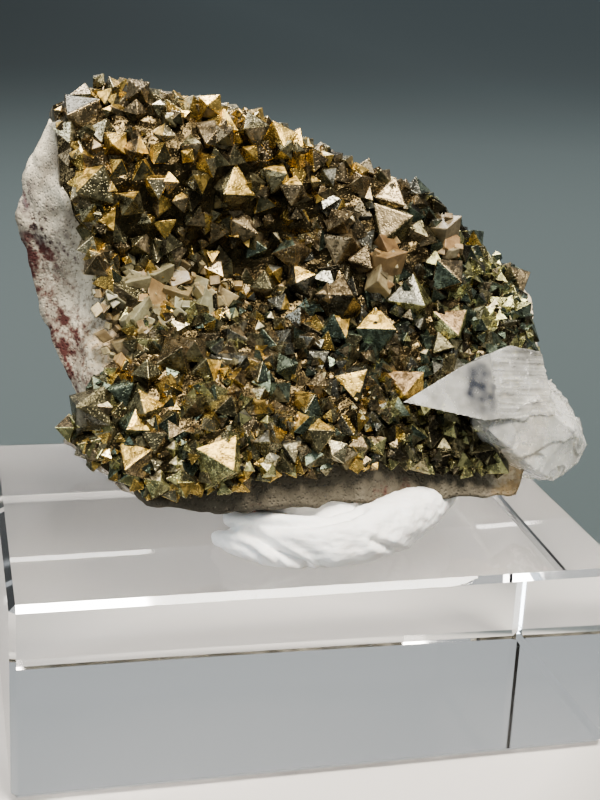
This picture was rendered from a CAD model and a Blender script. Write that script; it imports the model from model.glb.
"""Looks of a pyrite specimen that stands on a clear acrylic block.

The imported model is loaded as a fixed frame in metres. The specimen's own frame has its
x along the width, its y up the face and its z out of the face, as the CAD source has,
and lengths in it are in millimetres.
"""

import logging
import math
import random
from collections.abc import Callable
from dataclasses import dataclass, field
from enum import Enum

import bmesh
import bpy
from mathutils import Euler, Matrix, Vector, noise
from mathutils.bvhtree import BVHTree
from mathutils.kdtree import KDTree


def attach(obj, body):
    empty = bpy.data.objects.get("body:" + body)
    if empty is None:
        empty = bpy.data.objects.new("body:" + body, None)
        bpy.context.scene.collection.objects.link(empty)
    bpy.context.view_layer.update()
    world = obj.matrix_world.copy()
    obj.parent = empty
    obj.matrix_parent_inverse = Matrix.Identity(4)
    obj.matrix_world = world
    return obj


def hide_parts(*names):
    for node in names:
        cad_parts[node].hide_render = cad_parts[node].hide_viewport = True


LOG = logging.getLogger("pyrite_specimen")
MM = 0.001
# Without a seed the noise's vectors start from the clock.
NOISE_SEED = 7

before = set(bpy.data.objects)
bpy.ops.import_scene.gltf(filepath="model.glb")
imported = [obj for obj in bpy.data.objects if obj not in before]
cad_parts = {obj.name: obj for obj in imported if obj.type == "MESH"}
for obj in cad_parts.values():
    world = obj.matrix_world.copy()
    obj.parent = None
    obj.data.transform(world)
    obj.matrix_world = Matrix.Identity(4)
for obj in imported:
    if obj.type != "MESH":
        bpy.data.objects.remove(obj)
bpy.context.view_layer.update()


# Frames


@dataclass(frozen=True)
class PhotoView:
    """The camera, fitted to the block's visible edges.

    Attributes:
        place: Position in millimetres.
        angles: Rotation in degrees about x, y and z.
        lens: Focal length in millimetres on a 36 mm sensor.
        width: Width of the picture in pixels.
        height: Height of the picture in pixels.
    """

    place: tuple[float, float, float] = (-34.641, -129.323, 77.810)
    angles: tuple[float, float, float] = (70.90568, -3.31668, -14.14027)
    lens: float = 61.532
    sensor: float = 36.0
    width: float = 600.0
    height: float = 800.0

    def spot(self) -> Vector:
        """Return the camera's position in metres."""
        return Vector(self.place) * MM

    def turn(self) -> Matrix:
        """Return the camera's rotation."""
        return Euler([math.radians(angle) for angle in self.angles]).to_matrix()

    def focal(self) -> float:
        """Return the focal length in pixels."""
        return self.lens / self.sensor * self.height

    def ray(self, x: float, y: float) -> Vector:
        """Return the direction in which the camera sees a pixel.

        Args:
            x: Pixels from the picture's left side.
            y: Pixels from its top.

        Returns:
            A unit vector.
        """
        across = (x - self.width / 2.0) / self.focal()
        up = (self.height / 2.0 - y) / self.focal()
        return (self.turn() @ Vector((across, up, -1.0))).normalized()

    def make(self) -> bpy.types.Object:
        """Make the camera and make it the scene's."""
        data = bpy.data.cameras.new("photo_view")
        data.lens = self.lens
        data.sensor_width = self.sensor
        data.clip_start = MM
        camera = bpy.data.objects.new("photo_view", data)
        camera.location = self.spot()
        camera.rotation_euler = [math.radians(angle) for angle in self.angles]
        bpy.context.scene.collection.objects.link(camera)
        bpy.context.scene.camera = camera
        return camera


VIEW = PhotoView()


@dataclass(frozen=True)
class SpecimenFrame:
    """Where the specimen's own frame lies, as the CAD source has it."""

    origin: tuple[float, float, float] = (0.0, -13.0, 26.0)
    lean: float = 28.0
    turn: float = 6.0

    def matrix(self) -> Matrix:
        """Return the step from the specimen's frame to the object's, in metres."""
        angles = Euler((math.radians(90.0 - self.lean), 0.0, math.radians(self.turn)))
        return Matrix.Translation(Vector(self.origin) * MM) @ angles.to_matrix().to_4x4()


HOME = SpecimenFrame().matrix()
AWAY = HOME.inverted()


# Shapes that the rock and the crust share

ROCK_FRONT = {
    "bottom": [(-17.2, 1.0), (-12.5, -0.2), (-7.0, -0.8), (2.0, -0.5), (12.0, -1.0), (21.6, -1.6)],
    "right": [(21.6, -1.6), (24.6, 5.0), (25.8, 12.0), (27.4, 21.0)],
    "top": [(-22.4, 37.4), (-16.0, 39.0), (-9.0, 37.0), (5.0, 32.4), (15.5, 28.6), (27.4, 21.0)],
    "left": [(-17.2, 1.0), (-21.6, 7.6), (-18.4, 14.6), (-18.9, 20.6), (-22.8, 31.0), (-22.4, 37.4)],
}
ROCK_WIDEST = {
    "bottom": [(-15.8, 2.6), (-10.0, 0.4), (3.0, 0.0), (12.0, 0.0), (21.0, 0.8)],
    "right": [(21.0, 0.8), (25.6, 5.6), (29.2, 11.0), (28.8, 16.6), (28.0, 21.6)],
    "top": [(-22.2, 39.4), (-16.0, 38.4), (-9.0, 37.2), (5.0, 32.8), (15.5, 28.8), (28.0, 21.6)],
    "left": [(-15.8, 2.6), (-21.5, 10.0), (-24.5, 22.3), (-25.9, 29.5), (-25.3, 34.0), (-22.2, 39.4)],
}
CRUST_OUTLINE = {
    "bottom": [(-24.0, 7.6), (-18.0, 1.9), (-13.5, 1.9), (-5.0, 2.9), (4.0, 3.5), (19.6, 0.9)],
    "right": [(19.6, 0.9), (22.2, 6.0), (24.4, 12.0), (25.0, 17.0), (27.4, 21.8)],
    "top": [
        (-22.4, 39.4), (-17.4, 41.0), (-3.0, 37.6), (5.5, 34.0), (15.8, 30.4), (17.6, 27.0),
        (27.4, 21.8),
    ],
    "left": [(-24.0, 7.6), (-21.0, 10.9), (-18.2, 14.0), (-18.4, 20.3), (-22.6, 31.2), (-22.4, 39.4)],
}


@dataclass(frozen=True)
class Swell:
    """A soft round patch of the specimen's face, in millimetres.

    Attributes:
        x: Middle across the specimen.
        y: Middle up the specimen.
        reach_x: Half width.
        reach_y: Half height.
        height: Value at the middle.
    """

    x: float
    y: float
    reach_x: float
    reach_y: float
    height: float

    def at(self, x: float, y: float) -> float:
        """Return the patch's value at a point."""
        across = (x - self.x) / self.reach_x
        up = (y - self.y) / self.reach_y
        return self.height * math.exp(-across * across - up * up)


FACE_RELIEF = (
    Swell(-13.0, 33.0, 11.0, 8.0, 4.2),
    Swell(-1.0, 34.0, 9.0, 5.0, 1.6),
    Swell(-8.0, 23.0, 12.0, 5.5, -3.4),
    Swell(-11.0, 7.0, 12.0, 7.0, 3.2),
    Swell(6.0, 6.0, 10.0, 5.0, 1.4),
    Swell(9.0, 26.0, 8.0, 7.0, 1.2),
    Swell(25.0, 25.0, 7.0, 6.0, -6.0),
)
BACK_RELIEF = (
    Swell(-12.0, 24.0, 14.0, 11.0, 5.0),
    Swell(8.0, 16.0, 15.0, 9.0, 4.0),
)


def face_height(x: float, y: float) -> float:
    """Return the height of the crust's face without its crystals."""
    return sum(swell.at(x, y) for swell in FACE_RELIEF)


def point_along(outline: list[tuple[float, float]], share: float) -> Vector:
    """Return a point of a polyline.

    Args:
        outline: The polyline's points in millimetres.
        share: Share of its length from its start.

    Returns:
        The point in millimetres.
    """
    lengths = [math.dist(a, b) for a, b in zip(outline, outline[1:])]
    left = share * sum(lengths)
    for start, end, length in zip(outline, outline[1:], lengths):
        if left <= length or end is outline[-1]:
            return Vector(start).lerp(Vector(end), min(left / length, 1.0))
        left -= length
    raise ValueError("the share lies past the outline's end")


def patch_point(outline: dict[str, list[tuple[float, float]]], s: float, t: float) -> Vector:
    """Return a point of a four-sided patch.

    Args:
        outline: The patch's bottom, right, top and left sides.
        s: Share of the way across.
        t: Share of the way up.

    Returns:
        The point in millimetres.
    """
    bottom = point_along(outline["bottom"], s)
    top = point_along(outline["top"], s)
    left = point_along(outline["left"], t)
    right = point_along(outline["right"], t)
    corners = (
        (1 - s) * (1 - t) * Vector(outline["bottom"][0])
        + s * (1 - t) * Vector(outline["bottom"][-1])
        + (1 - s) * t * Vector(outline["top"][0])
        + s * t * Vector(outline["top"][-1])
    )
    return (1 - t) * bottom + t * top + (1 - s) * left + s * right - corners


def grid_slab(
    cells: tuple[int, int, int], place: Callable[[float, float, float], Vector]
) -> bmesh.types.BMesh:
    """Make a closed slab.

    Args:
        cells: Numbers of cells across, up and through the thickness.
        place: Returns a point in metres for the shares of the way across, up and from
            the back to the face.

    Returns:
        A bmesh in the specimen's frame.
    """
    cells_x, cells_y, layers = cells
    shape = bmesh.new()
    bmesh.ops.create_grid(shape, x_segments=cells_x, y_segments=cells_y, size=0.5)
    skin = list(shape.faces)
    for layer in range(layers):
        made = bmesh.ops.extrude_face_region(shape, geom=skin, use_keep_orig=True)
        if layer > 0:
            bmesh.ops.delete(shape, geom=skin, context="FACES")
        verts = [part for part in made["geom"] if isinstance(part, bmesh.types.BMVert)]
        skin = [part for part in made["geom"] if isinstance(part, bmesh.types.BMFace)]
        bmesh.ops.translate(shape, verts=verts, vec=(0.0, 0.0, 1.0 / layers))
    for vert in shape.verts:
        vert.co = place(vert.co.x + 0.5, vert.co.y + 0.5, vert.co.z)
    return shape


def joined(parts: list[bmesh.types.BMesh]) -> bmesh.types.BMesh:
    """Join bmeshes, which are freed, into one and return it."""
    whole = bmesh.new()
    for part in parts:
        spare = bpy.data.meshes.new("part")
        part.to_mesh(spare)
        part.free()
        whole.from_mesh(spare)
        bpy.data.meshes.remove(spare)
    return whole


def finish_piece(
    name: str, shape: bmesh.types.BMesh, look: bpy.types.Material, node: str
) -> bpy.types.Object:
    """Make a piece from a bmesh in the object's frame, which is freed.

    Args:
        name: Name of the piece.
        shape: Closed mesh in metres.
        look: Its material.
        node: The CAD node that the piece stands for.

    Returns:
        The piece.
    """
    mesh = bpy.data.meshes.new(name)
    bmesh.ops.recalc_face_normals(shape, faces=shape.faces)
    shape.to_mesh(mesh)
    shape.free()
    piece = bpy.data.objects.new(name, mesh)
    bpy.context.scene.collection.objects.link(piece)
    mesh.materials.append(look)
    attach(piece, "root")
    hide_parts(node)
    LOG.info("%s: %d faces", name, len(mesh.polygons))
    return piece


# Finishes


class NodeSheet:
    """A material's node tree, with short methods that add and link its nodes."""

    def __init__(self, tree: bpy.types.NodeTree) -> None:
        """Keep the tree."""
        self.tree = tree

    def add(self, kind: str, **settings: object) -> bpy.types.Node:
        """Add a node.

        Args:
            kind: The node's type.
            **settings: Its properties and, as in_NAME, the values of its inputs.

        Returns:
            The node.
        """
        node = self.tree.nodes.new(kind)
        for name, value in settings.items():
            if name.startswith("in_"):
                node.inputs[name[3:].replace("_", " ")].default_value = value
            else:
                setattr(node, name, value)
        return node

    def link(self, source: bpy.types.NodeSocket, target: bpy.types.NodeSocket) -> None:
        """Link two sockets."""
        self.tree.links.new(source, target)

    def math(
        self, operation: str, first: bpy.types.NodeSocket, second: float | bpy.types.NodeSocket
    ) -> bpy.types.NodeSocket:
        """Add a Math node and return its output."""
        node = self.add("ShaderNodeMath", operation=operation)
        self.link(first, node.inputs[0])
        if isinstance(second, bpy.types.NodeSocket):
            self.link(second, node.inputs[1])
        else:
            node.inputs[1].default_value = second
        return node.outputs[0]

    def spread(
        self, source: bpy.types.NodeSocket, low: float, high: float, to_low: float, to_high: float
    ) -> bpy.types.NodeSocket:
        """Map a value's range to another one, clamped, and return the output."""
        node = self.add("ShaderNodeMapRange")
        self.link(source, node.inputs["Value"])
        node.inputs["From Min"].default_value = low
        node.inputs["From Max"].default_value = high
        node.inputs["To Min"].default_value = to_low
        node.inputs["To Max"].default_value = to_high
        return node.outputs["Result"]

    def blend(
        self,
        share: bpy.types.NodeSocket,
        first: bpy.types.NodeSocket | tuple[float, float, float],
        second: bpy.types.NodeSocket | tuple[float, float, float],
        how: str = "MIX",
    ) -> bpy.types.NodeSocket:
        """Mix two colours and return the output."""
        node = self.add("ShaderNodeMix", data_type="RGBA", blend_type=how)
        self.link(share, node.inputs[0])
        for source, target in ((first, node.inputs[6]), (second, node.inputs[7])):
            if isinstance(source, bpy.types.NodeSocket):
                self.link(source, target)
            else:
                target.default_value = (*source, 1.0)
        return node.outputs[2]

    def grain(self, size: float, detail: float = 3.0) -> bpy.types.NodeSocket:
        """Add noise of a feature size in millimetres and return its value."""
        node = self.add("ShaderNodeTexNoise", in_Scale=1.0 / (size * MM), in_Detail=detail)
        self.link(self.place(), node.inputs["Vector"])
        return node.outputs["Fac"]

    def place(self) -> bpy.types.NodeSocket:
        """Return the object coordinates' output."""
        found = self.tree.nodes.get("place")
        if found is None:
            found = self.add("ShaderNodeTexCoord", name="place")
        return found.outputs["Object"]

    def attribute(self, name: str) -> bpy.types.Node:
        """Add a node that reads a mesh attribute."""
        return self.add("ShaderNodeAttribute", attribute_name=name)


def pitted_group() -> bpy.types.NodeTree:
    """Return the node group of a pitted, grainy mineral surface.

    Returns:
        A group with the inputs Vector and Size, in metres, and the outputs Height and
        Mottle.
    """
    name = "pitted_mineral"
    if name in bpy.data.node_groups:
        return bpy.data.node_groups[name]
    group = bpy.data.node_groups.new(name, "ShaderNodeTree")
    group.interface.new_socket("Vector", in_out="INPUT", socket_type="NodeSocketVector")
    group.interface.new_socket("Size", in_out="INPUT", socket_type="NodeSocketFloat")
    group.interface.new_socket("Height", in_out="OUTPUT", socket_type="NodeSocketFloat")
    group.interface.new_socket("Mottle", in_out="OUTPUT", socket_type="NodeSocketFloat")
    sheet = NodeSheet(group)
    source = sheet.add("NodeGroupInput")
    target = sheet.add("NodeGroupOutput")
    scale = sheet.add("ShaderNodeMath", operation="DIVIDE")
    scale.inputs[0].default_value = 1.0
    sheet.link(source.outputs["Size"], scale.inputs[1])
    fine = sheet.add("ShaderNodeTexNoise", in_Detail=4.0, in_Roughness=0.6)
    pits = sheet.add("ShaderNodeTexVoronoi", feature="F1")
    cloud = sheet.add("ShaderNodeTexNoise", in_Detail=2.0)
    for node in (fine, pits, cloud):
        sheet.link(source.outputs["Vector"], node.inputs["Vector"])
    sheet.link(scale.outputs[0], fine.inputs["Scale"])
    sheet.link(scale.outputs[0], pits.inputs["Scale"])
    sheet.link(sheet.math("MULTIPLY", scale.outputs[0], 0.22), cloud.inputs["Scale"])
    holes = sheet.spread(pits.outputs["Distance"], 0.05, 0.45, 0.0, 1.0)
    height = sheet.math("ADD", sheet.math("MULTIPLY", fine.outputs["Fac"], 0.7), holes)
    sheet.link(height, target.inputs["Height"])
    mottle = sheet.math("MULTIPLY", fine.outputs["Fac"], cloud.outputs["Fac"])
    sheet.link(sheet.spread(mottle, 0.12, 0.4, 0.0, 1.0), target.inputs["Mottle"])
    return group


@dataclass(frozen=True)
class Finish:
    """What every finish has: a name and a Principled shader's plain values."""

    name: str = "finish"
    roughness: float = 0.5
    metallic: float = 0.0

    def start(self) -> tuple[bpy.types.Material, NodeSheet, bpy.types.Node]:
        """Return a new material, its node sheet and its shader."""
        material = bpy.data.materials.new(self.name)
        material.use_nodes = True
        sheet = NodeSheet(material.node_tree)
        shader = material.node_tree.nodes["Principled BSDF"]
        shader.inputs["Roughness"].default_value = self.roughness
        shader.inputs["Metallic"].default_value = self.metallic
        return material, sheet, shader

    def pits(self, sheet: NodeSheet, size: float) -> bpy.types.Node:
        """Add the pitted surface's group with a feature size in millimetres."""
        node = sheet.add("ShaderNodeGroup", node_tree=pitted_group())
        node.inputs["Size"].default_value = size * MM
        sheet.link(sheet.place(), node.inputs["Vector"])
        return node

    def bump(
        self,
        sheet: NodeSheet,
        shader: bpy.types.Node,
        height: bpy.types.NodeSocket,
        strength: float,
        depth: float,
    ) -> None:
        """Put a bump on the shader, its depth in millimetres."""
        node = sheet.add("ShaderNodeBump", in_Strength=strength, in_Distance=depth * MM)
        sheet.link(height, node.inputs["Height"])
        sheet.link(node.outputs["Normal"], shader.inputs["Normal"])


@dataclass(frozen=True)
class TarnishedPyrite(Finish):
    """Metallic pyrite: frosted gold where a face is etched, dark where it is smooth."""

    name: str = "tarnished_pyrite"
    metallic: float = 1.0

    def make(self) -> bpy.types.Material:
        """Return the material."""
        material, sheet, shader = self.start()
        tone = sheet.attribute("tone")
        frost = sheet.attribute("frost").outputs["Fac"]
        pits = self.pits(sheet, 0.24)
        mottle = pits.outputs["Mottle"]
        patchy = sheet.spread(sheet.grain(0.85, 4.0), 0.42, 0.56, 0.3, 1.0)
        etched = sheet.math("MULTIPLY", patchy, sheet.spread(mottle, 0.15, 0.6, 0.35, 1.0))
        broken = sheet.math("MULTIPLY", frost, etched)
        worn = sheet.blend(etched, (0.34, 0.31, 0.25), (1.28, 1.22, 1.12))
        colour = sheet.add("ShaderNodeMix", data_type="RGBA", blend_type="MULTIPLY")
        colour.inputs[0].default_value = 0.9
        sheet.link(tone.outputs["Color"], colour.inputs[6])
        sheet.link(worn, colour.inputs[7])
        sheet.link(colour.outputs[2], shader.inputs["Base Color"])
        sheet.link(sheet.spread(broken, 0.0, 1.0, 0.24, 0.52), shader.inputs["Roughness"])
        sheet.link(sheet.spread(broken, 0.0, 1.0, 0.92, 0.45), shader.inputs["Metallic"])
        self.bump(sheet, shader, pits.outputs["Height"], 0.75, 0.07)
        return material


@dataclass(frozen=True)
class StainedRock(Finish):
    """Pale carbonate rock with red-brown, ochre and dark stains."""

    name: str = "stained_rock"
    roughness: float = 0.85

    def make(self) -> bpy.types.Material:
        """Return the material."""
        material, sheet, shader = self.start()
        pits = self.pits(sheet, 0.35)
        broad = sheet.grain(2.6, 7.0)
        speck = sheet.grain(0.5, 5.0)
        dull, bright = (0.3, 0.255, 0.195), (0.7, 0.62, 0.48)
        colour = sheet.blend(sheet.spread(broad, 0.36, 0.6, 0.0, 1.0), dull, bright)
        for name, tint, jag, low, high in (
            ("ochre", (0.46, 0.33, 0.18), 0.2, 0.25, 0.75),
            ("strip", (0.125, 0.108, 0.078), 0.1, 0.2, 0.6),
            ("violet", (0.13, 0.1, 0.1), 0.3, 0.2, 0.95),
            ("hematite", (0.085, 0.024, 0.018), 0.28, 0.25, 0.85),
            ("rim", (0.03, 0.012, 0.01), 0.4, 0.35, 0.65),
        ):
            amount = sheet.attribute(name).outputs["Fac"]
            ragged = sheet.math("ADD", amount, sheet.spread(speck, 0.3, 0.7, -jag, jag))
            colour = sheet.blend(sheet.spread(ragged, low, high, 0.0, 1.0), colour, tint)
        fine = sheet.spread(pits.outputs["Mottle"], 0.0, 1.0, 0.0, 1.0)
        shade = sheet.blend(fine, (0.66, 0.64, 0.62), (1.1, 1.1, 1.1))
        final = sheet.add("ShaderNodeMix", data_type="RGBA", blend_type="MULTIPLY")
        final.inputs[0].default_value = 0.7
        sheet.link(colour, final.inputs[6])
        sheet.link(shade, final.inputs[7])
        sheet.link(final.outputs[2], shader.inputs["Base Color"])
        self.bump(sheet, shader, pits.outputs["Height"], 0.8, 0.16)
        return material


@dataclass(frozen=True)
class CloudyCalcite(Finish):
    """White translucent calcite with fine cleavage lines."""

    name: str = "cloudy_calcite"
    roughness: float = 0.22

    def make(self) -> bpy.types.Material:
        """Return the material."""
        material, sheet, shader = self.start()
        shader.inputs["IOR"].default_value = 1.58
        shader.inputs["Transmission Weight"].default_value = 0.66
        shader.inputs["Subsurface Weight"].default_value = 0.3
        shader.inputs["Subsurface Radius"].default_value = (0.8 * MM, 0.8 * MM, 0.9 * MM)
        shader.inputs["Subsurface Scale"].default_value = 1.0
        milk = sheet.attribute("milk").outputs["Fac"]
        cloud = sheet.spread(sheet.grain(0.9, 5.0), 0.3, 0.7, -0.2, 0.2)
        white = sheet.spread(sheet.math("ADD", milk, cloud), 0.0, 1.0, 0.0, 1.0)
        colour = sheet.blend(white, (0.3, 0.295, 0.27), (1.0, 0.985, 0.93))
        grey = sheet.attribute("grey").outputs["Fac"]
        colour = sheet.blend(grey, colour, (0.09, 0.1, 0.13))
        sheet.link(colour, shader.inputs["Base Color"])
        pits = self.pits(sheet, 0.4)
        rough = sheet.math("ADD", sheet.math("MULTIPLY", white, 0.18), 0.05)
        rough = sheet.math("ADD", rough, sheet.math("MULTIPLY", pits.outputs["Mottle"], 0.12))
        sheet.link(rough, shader.inputs["Roughness"])
        self.bump(sheet, shader, pits.outputs["Height"], 0.12, 0.03)
        return material


@dataclass(frozen=True)
class SatinDolomite(Finish):
    """Cream to tan dolomite, slightly translucent."""

    name: str = "satin_dolomite"
    roughness: float = 0.42

    def make(self) -> bpy.types.Material:
        """Return the material."""
        material, sheet, shader = self.start()
        shader.inputs["Subsurface Weight"].default_value = 0.2
        shader.inputs["Subsurface Radius"].default_value = (0.4 * MM, 0.38 * MM, 0.3 * MM)
        tone = sheet.attribute("tone").outputs["Color"]
        pits = self.pits(sheet, 0.3)
        cloud = sheet.spread(sheet.grain(1.1, 4.0), 0.35, 0.65, 0.0, 1.0)
        mixed = sheet.math("MULTIPLY", cloud, sheet.spread(pits.outputs["Mottle"], 0.1, 0.7, 0.4, 1.0))
        shade = sheet.blend(mixed, (0.5, 0.45, 0.38), (1.15, 1.14, 1.1))
        final = sheet.add("ShaderNodeMix", data_type="RGBA", blend_type="MULTIPLY")
        final.inputs[0].default_value = 0.9
        sheet.link(tone, final.inputs[6])
        sheet.link(shade, final.inputs[7])
        sheet.link(final.outputs[2], shader.inputs["Base Color"])
        sheet.link(sheet.spread(pits.outputs["Mottle"], 0.0, 1.0, 0.3, 0.55), shader.inputs["Roughness"])
        self.bump(sheet, shader, pits.outputs["Height"], 0.3, 0.05)
        return material


@dataclass(frozen=True)
class PulledTack(Finish):
    """Soft white tack with faint pulled strands."""

    name: str = "pulled_tack"
    roughness: float = 0.62

    def make(self) -> bpy.types.Material:
        """Return the material."""
        material, sheet, shader = self.start()
        shader.inputs["Subsurface Weight"].default_value = 0.25
        shader.inputs["Subsurface Radius"].default_value = (1.0 * MM, 0.8 * MM, 0.7 * MM)
        cloud = sheet.spread(sheet.grain(2.6, 4.0), 0.35, 0.65, 0.0, 1.0)
        colour = sheet.blend(cloud, (0.86, 0.84, 0.81), (0.93, 0.92, 0.9))
        sheet.link(colour, shader.inputs["Base Color"])
        strands = sheet.add("ShaderNodeMapping", vector_type="POINT")
        strands.inputs["Rotation"].default_value = (0.0, 0.0, math.radians(-20.0))
        strands.inputs["Scale"].default_value = (0.25, 1.0, 1.0)
        sheet.link(sheet.place(), strands.inputs["Vector"])
        fibre = sheet.add("ShaderNodeTexNoise", in_Scale=1.0 / (0.3 * MM), in_Detail=4.0)
        sheet.link(strands.outputs["Vector"], fibre.inputs["Vector"])
        sheet.link(sheet.spread(fibre.outputs["Fac"], 0.3, 0.7, 0.5, 0.75), shader.inputs["Roughness"])
        self.bump(sheet, shader, fibre.outputs["Fac"], 0.45, 0.1)
        return material


@dataclass(frozen=True)
class ClearAcrylic(Finish):
    """Clear polished acrylic with faint hairlines."""

    name: str = "clear_acrylic_polished"
    roughness: float = 0.02

    def make(self) -> bpy.types.Material:
        """Return the material."""
        material, sheet, shader = self.start()
        shader.inputs["IOR"].default_value = 1.49
        shader.inputs["Transmission Weight"].default_value = 1.0
        haze = sheet.grain(6.0, 5.0)
        colour = sheet.blend(haze, (0.985, 0.992, 0.992), (1.0, 1.0, 1.0))
        sheet.link(colour, shader.inputs["Base Color"])
        sheet.link(sheet.spread(haze, 0.35, 0.7, 0.012, 0.06), shader.inputs["Roughness"])
        wipe = sheet.add("ShaderNodeMapping", vector_type="POINT")
        wipe.inputs["Scale"].default_value = (0.06, 1.0, 1.0)
        sheet.link(sheet.place(), wipe.inputs["Vector"])
        hair = sheet.add("ShaderNodeTexNoise", in_Scale=1.0 / (0.4 * MM), in_Detail=3.0)
        sheet.link(wipe.outputs["Vector"], hair.inputs["Vector"])
        self.bump(sheet, shader, hair.outputs["Fac"], 0.02, 0.02)
        return material


@dataclass(frozen=True)
class StudioPaper(Finish):
    """The stage's sheet: pale round the object and slate far from it."""

    name: str = "studio_paper"
    roughness: float = 0.9
    pale: tuple[float, float, float] = (0.57, 0.54, 0.515)
    middle: tuple[float, float, float] = (0.034, 0.047, 0.05)
    slate: tuple[float, float, float] = (0.092, 0.118, 0.124)
    near: tuple[float, float] = (32.0, 56.0)
    far: tuple[float, float] = (70.0, 420.0)
    dim: tuple[float, float] = (-120.0, 260.0)

    def make(self) -> bpy.types.Material:
        """Return the material."""
        material, sheet, shader = self.start()
        away = sheet.add("ShaderNodeVectorMath", operation="LENGTH")
        sheet.link(sheet.place(), away.inputs[0])
        reach = away.outputs["Value"]
        near = sheet.spread(reach, self.near[0] * MM, self.near[1] * MM, 0.0, 1.0)
        far = sheet.spread(reach, self.far[0] * MM, self.far[1] * MM, 0.0, 1.0)
        behind = sheet.blend(far, self.middle, self.slate)
        parts = sheet.add("ShaderNodeSeparateXYZ")
        sheet.link(sheet.place(), parts.inputs[0])
        dim = sheet.spread(parts.outputs["X"], self.dim[0] * MM, self.dim[1] * MM, 0.0, 1.0)
        behind = sheet.blend(dim, self.middle, behind)
        sheet.link(sheet.blend(near, self.pale, behind), shader.inputs["Base Color"])
        self.bump(sheet, shader, sheet.grain(0.8), 0.05, 0.05)
        return material


# Pyrite


class Tone(Enum):
    """Named tones of the pyrite's faces, as linear colours."""

    GOLD = (0.81, 0.59, 0.21)
    BROWN = (0.36, 0.295, 0.195)
    OLIVE = (0.285, 0.265, 0.17)
    PEWTER = (0.06, 0.058, 0.045)
    SILVER = (0.29, 0.295, 0.265)
    CREAM = (0.86, 0.79, 0.57)
    LIME = (0.60, 0.60, 0.33)
    TEAL = (0.17, 0.215, 0.175)
    ROSE = (0.36, 0.26, 0.155)
    DARK = (0.075, 0.065, 0.042)


G, B, O, S, C, L, T, R, D = (
    Tone.GOLD, Tone.BROWN, Tone.OLIVE, Tone.SILVER, Tone.CREAM, Tone.LIME, Tone.TEAL,
    Tone.ROSE, Tone.DARK,
)


@dataclass(frozen=True)
class SeenFace:
    """A crystal face that the camera sees, by its three corners in pixels.

    Attributes:
        ax: Pixels across to the first corner.
        ay: Pixels down to the first corner.
        bx: Pixels across to the second corner.
        by: Pixels down to the second corner.
        cx: Pixels across to the third corner.
        cy: Pixels down to the third corner.
        tone: Its named tone.
        gleam: How well it is etched and lit, from 0 to 3.
    """

    ax: float
    ay: float
    bx: float
    by: float
    cx: float
    cy: float
    tone: Tone
    gleam: int

    def corners(self) -> list[Vector]:
        """Return the corners in pixels."""
        return [Vector((self.ax, self.ay)), Vector((self.bx, self.by)), Vector((self.cx, self.cy))]


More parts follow.
